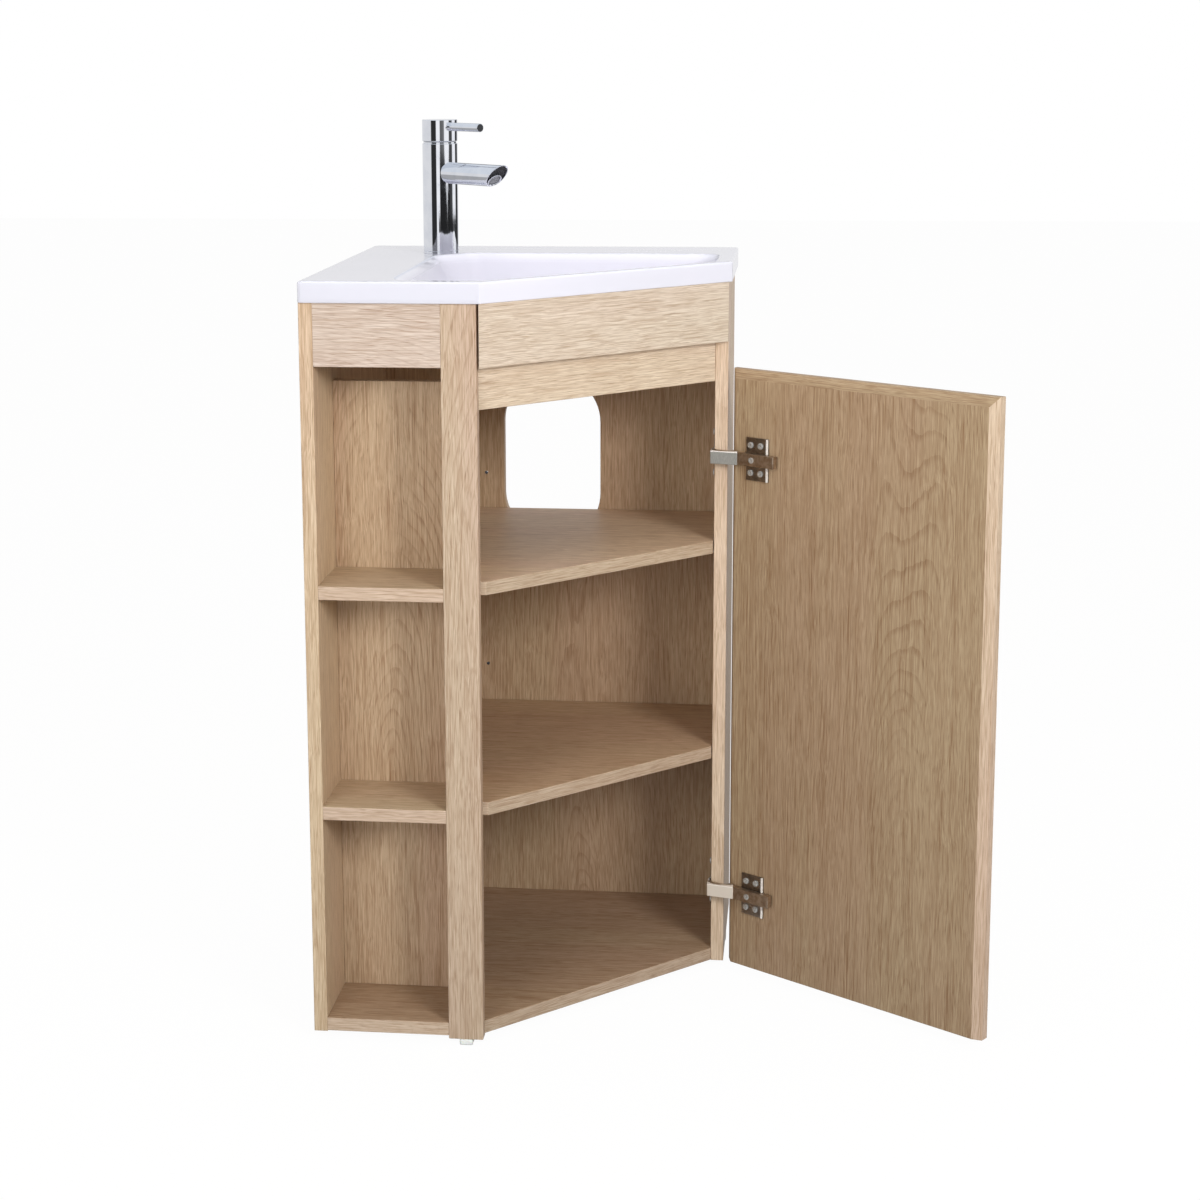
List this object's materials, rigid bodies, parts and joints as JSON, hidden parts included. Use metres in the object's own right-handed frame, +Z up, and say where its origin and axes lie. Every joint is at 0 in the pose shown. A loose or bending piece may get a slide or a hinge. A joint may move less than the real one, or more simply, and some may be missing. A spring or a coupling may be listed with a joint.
{
  "type": "corner vanity unit",
  "caption": "Five-sided corner washbasin cabinet with open side niche, one hinged door on the diagonal front, resin corner basin and single-lever mixer tap.",
  "frame": {"origin": "room corner at floor level, which is the outer corner of the rear left floor glide", "axes": "+X along the back wall away from the corner, -Y along the left wall towards the user, +Z up"},
  "size_m": [0.7445, 0.45, 1.0075],
  "materials": {
    "oak_board": "oak-look melamine, satin, fine grain",
    "steel": "zinc-plated",
    "hinge_steel": "nickel-plated pressed steel",
    "chrome": "polished chrome plate",
    "rubber": "matt black rubber",
    "brass": "bare machined brass",
    "grey_plastic": "moulded grey plastic",
    "white_plastic": "moulded off-white plastic",
    "basin_resin": "white cast mineral resin, glossy gel coat"
  },
  "bodies": {
    "cabinet": {"left_side_panel": "oak_board", "right_side_panel": "oak_board", "back_panel": "oak_board", "bottom_panel": "oak_board", "corner_post": "oak_board", "niche_back_panel": "oak_board", "niche_divider": "oak_board", "niche_shelf_upper": "oak_board", "niche_shelf_lower": "oak_board", "niche_fascia": "oak_board", "front_fascia": "oak_board", "door_rail": "oak_board", "main_shelf_upper": "oak_board", "main_shelf_lower": "oak_board", "shelf_pins": "steel", "carcass_screws": "steel", "floor_glides": "white_plastic", "basin": "basin_resin", "waste_flange": "chrome", "waste_seal": "rubber", "waste_nut": "white_plastic", "tap_base_ring": "chrome", "tap_gasket": "rubber", "tap_body": "chrome", "tap_spout": "chrome", "tap_aerator": "grey_plastic", "tap_cartridge": "grey_plastic", "tap_washer": "rubber", "tap_nut": "brass", "tap_inlets": "brass", "upper_hinge_cup": "hinge_steel", "lower_hinge_cup": "hinge_steel", "hinge_cup_screws": "steel"},
    "hinge_links": {"upper_hinge_link": "hinge_steel", "lower_hinge_link": "hinge_steel"},
    "door_leaf": {"door": "oak_board", "upper_hinge_arm": "hinge_steel", "lower_hinge_arm": "hinge_steel", "upper_hinge_plate": "hinge_steel", "lower_hinge_plate": "hinge_steel", "hinge_plate_screws": "steel", "hinge_clamp_screws": "steel"},
    "plug": {"waste_plug": "chrome"},
    "tap_swivel": {"tap_spindle": "brass"},
    "tap_handle": {"tap_head": "chrome", "tap_lever": "chrome"}
  },
  "joints": [
    {"name": "door_swing", "type": "hinge", "parent": "cabinet", "child": "door_leaf", "pos_m": [0.446, -0.1884, 0.36475], "axis": [0, 0, 1], "range_deg": [-99.1, 5.9]},
    {"name": "link_swing", "type": "hinge", "parent": "cabinet", "child": "hinge_links", "pos_m": [0.446, -0.1884, 0.36475], "axis": [0, 0, 1], "range_deg": [-49.6, 3]},
    {"name": "plug_lift", "type": "slide", "parent": "cabinet", "child": "plug", "axis": [0, 0, 1], "range_m": [0, 0.006]},
    {"name": "tap_turn", "type": "hinge", "parent": "cabinet", "child": "tap_swivel", "pos_m": [0.0995, -0.0995, 0.9818], "axis": [0, 0, 1], "range_deg": [-45, 45]},
    {"name": "tap_tilt", "type": "hinge", "parent": "tap_swivel", "child": "tap_handle", "pos_m": [0.08536, -0.08536, 0.9818], "axis": [-0.7071, -0.7071, 0], "range_deg": [0, 12]}
  ],
  "couplings": [
    {"joint": "link_swing", "follows": "door_swing", "ratio": 0.5}
  ]
}
